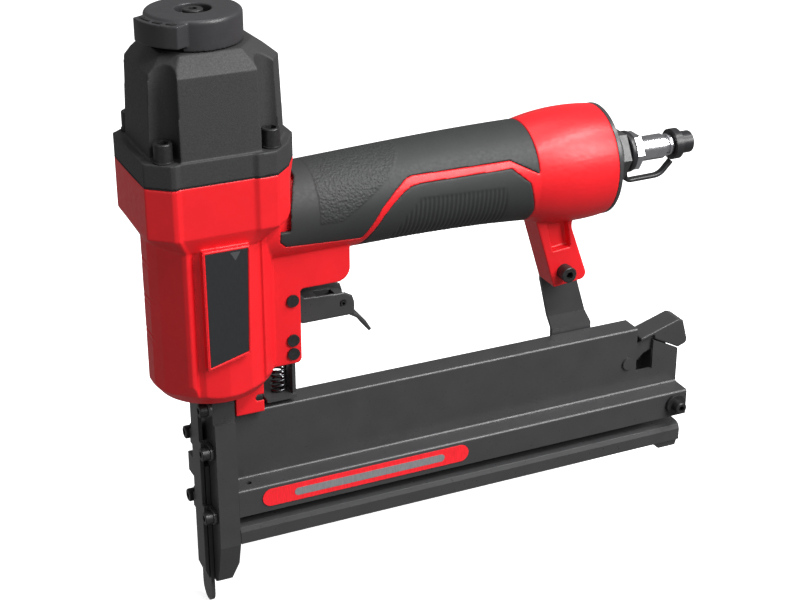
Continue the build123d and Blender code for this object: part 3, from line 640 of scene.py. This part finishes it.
# ---- label and marks ------------------------------------------------------------------
def make_side_labels(materials):
    """Raised border round each side plate, a thin red line inside it and a small triangle."""
    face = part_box("side_plates")[1].y

    def outline(growth, corner):
        """The plate's outline moved outward from its middle, with rounded corners."""
        points = []
        for place in PLATE_CORNERS:
            offset = Vector(place) - PLATE_MIDDLE
            points.append((PLATE_MIDDLE.x + offset.x + math.copysign(growth, offset.x),
                           PLATE_MIDDLE.y + offset.y + math.copysign(growth, offset.y)))
        return rounded_outline(points, corner)

    for side, tag in ((-1, "near"), (1, "far")):
        rim_y, line_y = side * (face - BORDER_DEPTH), side * face
        rim = [(x, rim_y, z) for x, z in outline(BORDER_GROWTH, BORDER_CORNER)]
        border = tube("label_border_" + tag, rim, round_section(BORDER_RADIUS), closed=True)
        add_piece("label_border_" + tag, border, materials["red_paint"], "tool")
        line = [(x, line_y, z) for x, z in outline(LINE_GROWTH, LINE_CORNER)]
        inner = tube("label_line_" + tag, line, round_section(LINE_RADIUS, 8), closed=True)
        add_piece("label_line_" + tag, inner, materials["label_red"], "tool")
        y_in, y_out = sorted((side * (face - TRIANGLE_SUNK), side * (face + TRIANGLE_RAISED)))
        triangle = plate("label_mark_" + tag, TRIANGLE, y_in, y_out)
        add_piece("label_mark_" + tag, triangle, materials["label_grey"], "tool")


def arc_strip(name, radius, start, end, width, base, top, arrow=0.0):
    """A flat arc on a level face, with an arrowhead of the given angle at its end."""
    def build(work):
        low, high = [], []
        stations = [(start + (end - start) * k / ARC_STEPS, width / 2)
                    for k in range(ARC_STEPS + 1)]
        if arrow:
            stations += [(end, width * ARROW_SPREAD), (end + arrow, ARROW_TIP)]
        for level, ring in ((base, low), (top, high)):
            for angle, half in stations:
                for r in (radius - half, radius + half):
                    ring.append(work.verts.new((r * math.cos(angle), r * math.sin(angle), level)))
        for k in range(len(stations) - 1):
            a, b, c, d = 2 * k, 2 * k + 1, 2 * k + 3, 2 * k + 2
            work.faces.new((low[a], low[d], low[c], low[b]))
            work.faces.new((high[a], high[b], high[c], high[d]))
            work.faces.new((low[a], high[a], high[d], low[d]))
            work.faces.new((low[b], low[c], high[c], high[b]))
        last = len(stations) * 2
        work.faces.new((low[0], low[1], high[1], high[0]))
        work.faces.new((low[last - 2], high[last - 2], high[last - 1], low[last - 1]))
    return mesh_from(name, build)


def make_deflector_marks(materials):
    """Two turning arrows and the bar between them, raised on the deflector's spout."""
    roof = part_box("exhaust_deflector")[1].z - MARK_DROP
    base, top = roof - MARK_HALF_THICK, roof + MARK_HALF_THICK
    for name, start, end, width, arrow in TURN_MARKS:
        mesh = arc_strip(name, MARK_RADIUS, MARK_TURN + start, MARK_TURN + end, width,
                         base, top, arrow)
        add_piece(name, mesh, materials["mark_black"], "deflector")


# ---- springs and strap ----------------------------------------------------------------
def helix(radius, low, high, turns, end_turns=1.0):
    """Points of a compression spring about the local Z axis, its end coils closed up."""
    steps = int(36 * turns)
    points = []
    for step in range(steps + 1):
        share = step / steps
        angle = 2 * math.pi * turns * share
        edge = end_turns / turns
        if share < edge:
            rise = 0.5 * share * share / edge
        elif share > 1 - edge:
            rise = 1 - edge - 0.5 * (1 - share) ** 2 / edge
        else:
            rise = share - 0.5 * edge
        points.append((radius * math.cos(angle), radius * math.sin(angle),
                       low + (high - low) * rise / (1 - edge)))
    return points


# name, CAD node, body, radius and wire radius in mm, turns, joint, share of its length left, axis
SPRINGS = [
    ("safety_coil", "safety_spring", "tool", 3.0, 0.5, 8, "contact_press", 0.53, "z"),
    ("head_valve_coil", "head_valve_spring", "tool", 14.0, 0.8, 4, "head_valve_lift", 0.6, "z"),
    ("trigger_valve_coil", "trigger_valve_spring", "tool", 3.2, 0.4, 5, "valve_stem_lift", 0.6,
     "z"),
    ("pusher_coil", "pusher_spring", "slide", 2.1, 0.32, 70, "pusher_slide", 0.33, "x"),
]


def make_springs(materials):
    """Coils in place of the plain tubes, their end coils closed up."""
    for name, node, body, radius, wire, turns, joint, keep, along in SPRINGS:
        low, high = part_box(node)
        centre = (low + high) / 2
        radius, wire = radius * MM, wire * MM
        if along == "z":
            coil = helix(radius, low.z + wire, high.z - wire, turns)
            points = [(centre.x + x, centre.y + y, z) for x, y, z in coil]
        else:
            coil = helix(radius, low.x + wire, high.x - wire, turns)
            points = [(z, centre.y + x, centre.z + y) for x, y, z in coil]
        mesh = tube(name, points, round_section(wire, 10))
        piece = add_piece(name, mesh, materials["spring_steel"], body)
        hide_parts(node)
        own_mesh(piece)


def bend_path(corners, radius, steps=8):
    """An open path with its inner corners rounded."""
    corners = [Vector(corner) for corner in corners]
    points = [corners[0]]
    for before, here, after in zip(corners, corners[1:], corners[2:]):
        start = here + (before - here).normalized() * radius
        end = here + (after - here).normalized() * radius
        for step in range(steps + 1):
            t = step / steps
            points.append(start * (1 - t) ** 2 + here * 2 * t * (1 - t) + end * t * t)
    return points + [corners[-1]]


def make_dust_strap(materials):
    """Strap from the loop round the plug to the dust cap."""
    low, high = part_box("dust_cap")
    axis_z = (low.z + high.z) / 2
    path = bend_path([(x * MM, 0, z * MM) for x, z in STRAP_ROUTE], STRAP_BEND)
    fine = []
    for first, second in zip(path, path[1:]):
        fine += [first.lerp(second, k / STRAP_STEPS) for k in range(STRAP_STEPS)]
    strap = tube("cap_strap", fine + [path[-1]], flat_section(STRAP_WIDTH, STRAP_THICK, 0.42))
    ring = [(LOOP_X, LOOP_RADIUS * math.cos(a), axis_z + LOOP_RADIUS * math.sin(a))
            for a in np.linspace(0, 2 * math.pi, LOOP_STATIONS + 1)[:-1]]
    loop = tube("cap_strap_loop", ring, flat_section(LOOP_WIDTH, LOOP_THICK), closed=True)
    piece = add_piece("cap_strap", strap, materials["black_plastic"])
    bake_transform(piece)
    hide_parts("dust_cap_strap")
    add_piece("cap_strap_loop", loop, materials["black_plastic"], "tool")


# ---- studio ---------------------------------------------------------------------------
def area_light(name, place, size, power):
    light = bpy.data.lights.new(name, "AREA")
    light.shape = "RECTANGLE"
    light.size, light.size_y = size
    light.energy = power
    lamp = bpy.data.objects.new(name, light)
    bpy.context.scene.collection.objects.link(lamp)
    lamp.location = place
    lamp.rotation_euler = (Vector(LAMP_AIM) - Vector(place)).to_track_quat("-Z", "Y").to_euler()


def make_studio():
    """Pale floor just under the nose, four soft lamps and the world."""
    def build(work):
        bmesh.ops.create_grid(work, x_segments=8, y_segments=8, size=FLOOR_HALF)

    floor = add_piece("floor", mesh_from("floor", build), floor_surface())
    floor.location = (FLOOR_CENTRE_X, 0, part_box("contact_arm")[0].z - FLOOR_DROP)
    floor.visible_diffuse = False
    floor.visible_glossy = False
    for name, place, size, power in LAMPS:
        area_light(name, place, size, power)
    make_world()


def make_world():
    """White where the camera looks at it, and a weaker grey as a light."""
    world = bpy.data.worlds.new("studio")
    world.use_nodes = True
    nodes, links = world.node_tree.nodes, world.node_tree.links
    background = nodes["Background"]
    background.inputs["Color"].default_value = (1, 1, 1, 1)
    path = nodes.new("ShaderNodeLightPath")
    strength = nodes.new("ShaderNodeMapRange")
    strength.inputs["To Min"].default_value = WORLD_LIGHT
    strength.inputs["To Max"].default_value = 1.0
    links.new(path.outputs["Is Camera Ray"], strength.inputs["Value"])
    links.new(strength.outputs["Result"], background.inputs["Strength"])
    bpy.context.scene.world = world


def make_camera():
    """Long lens at the nose end of the near side, looking about 25 degrees down."""
    back = Vector((math.sin(AZIMUTH) * math.cos(ELEVATION),
                   -math.cos(AZIMUTH) * math.cos(ELEVATION), math.sin(ELEVATION)))
    data = bpy.data.cameras.new("camera")
    data.lens = LENS
    data.sensor_width = SENSOR_WIDTH
    data.clip_start, data.clip_end = CLIP_NEAR, CLIP_FAR
    camera = bpy.data.objects.new("camera", data)
    bpy.context.scene.collection.objects.link(camera)
    camera.location = AIM + back * DISTANCE
    camera.rotation_euler = (-back).to_track_quat("-Z", "Y").to_euler()
    bpy.context.scene.camera = camera
    bpy.context.scene.view_settings.view_transform = "Standard"


finishes = make_materials()
dress_cad_nodes(finishes)
make_castings(finishes)
make_grips(finishes)
make_side_labels(finishes)
make_deflector_marks(finishes)
make_springs(finishes)
make_dust_strap(finishes)
make_studio()
make_camera()
